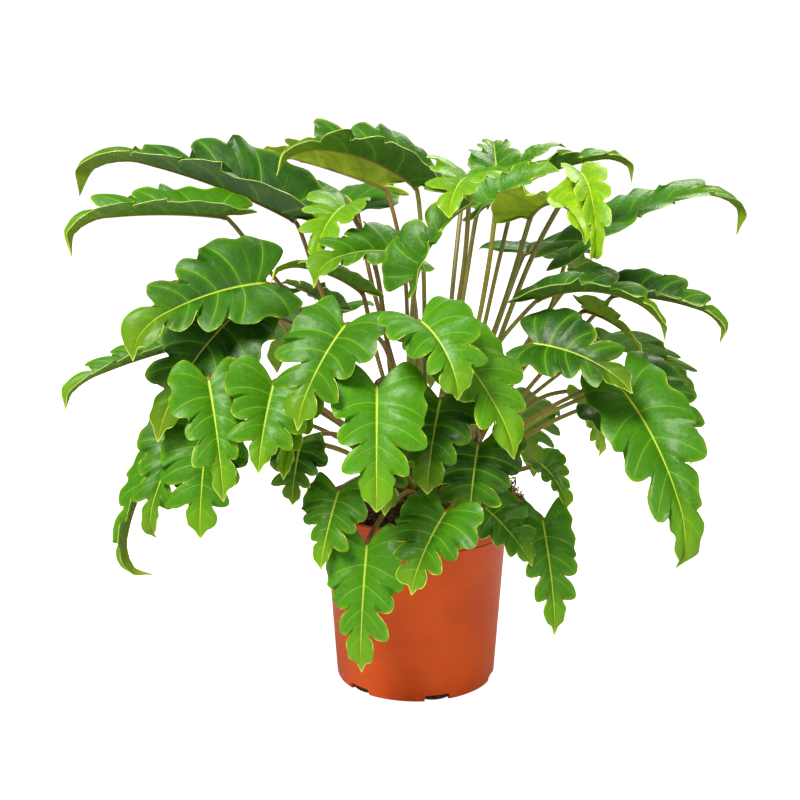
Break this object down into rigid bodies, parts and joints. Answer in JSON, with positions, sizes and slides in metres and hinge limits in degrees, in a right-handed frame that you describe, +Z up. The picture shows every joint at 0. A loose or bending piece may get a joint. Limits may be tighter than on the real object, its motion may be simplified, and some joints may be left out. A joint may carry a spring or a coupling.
{
  "type": "potted philodendron",
  "caption": "Bushy philodendron with arching stalks and glossy lobed leaves that hang over a round terracotta-coloured plastic nursery pot.",
  "frame": {"origin": "centre of the pot's flat underside", "axes": "+Z up along the pot's axis, -Y towards the fuller front of the plant, +X to its right as seen from the front"},
  "size_m": [0.6439, 0.5655, 0.5502],
  "materials": {
    "pot": "satin",
    "soil": "matte",
    "crown": "matte",
    "leaf": "satin"
  },
  "bodies": {
    "root": {"pot": "pot", "soil": "soil", "crown": "crown", "leaf_left_top_1": "leaf", "leaf_left_top_2": "leaf", "leaf_left_mid_1": "leaf", "leaf_left_mid_2": "leaf", "leaf_left_mid_3": "leaf", "leaf_left_low_1": "leaf", "leaf_left_low_2": "leaf", "leaf_left_low_3": "leaf", "leaf_left_low_4": "leaf", "leaf_left_low_5": "leaf", "leaf_left_back_2": "leaf", "leaf_front_1": "leaf", "leaf_front_2": "leaf", "leaf_front_3": "leaf", "leaf_front_4": "leaf", "leaf_front_5": "leaf", "leaf_front_6": "leaf", "leaf_front_7": "leaf", "leaf_front_8": "leaf", "leaf_front_9": "leaf", "leaf_front_10": "leaf", "leaf_front_11": "leaf", "leaf_front_12": "leaf", "leaf_front_13": "leaf", "leaf_front_14": "leaf", "leaf_right_low_1": "leaf", "leaf_right_low_2": "leaf", "leaf_right_mid_1": "leaf", "leaf_right_mid_2": "leaf", "leaf_right_mid_3": "leaf", "leaf_right_mid_4": "leaf", "leaf_right_mid_5": "leaf", "leaf_right_mid_6": "leaf", "leaf_right_top_1": "leaf", "leaf_right_top_2": "leaf", "leaf_right_top_3": "leaf", "leaf_right_top_4": "leaf", "leaf_top_1": "leaf", "leaf_top_2": "leaf", "leaf_top_3": "leaf", "leaf_top_4": "leaf", "leaf_top_5": "leaf", "leaf_top_6": "leaf", "leaf_top_7": "leaf", "leaf_top_8": "leaf", "leaf_top_9": "leaf", "leaf_top_10": "leaf", "leaf_top_11": "leaf", "leaf_top_13": "leaf", "leaf_back_1": "leaf", "leaf_back_2": "leaf", "leaf_back_3": "leaf", "leaf_back_4": "leaf", "leaf_back_5": "leaf", "leaf_back_6": "leaf", "leaf_back_7": "leaf", "leaf_back_8": "leaf"}
  },
  "joints": []
}
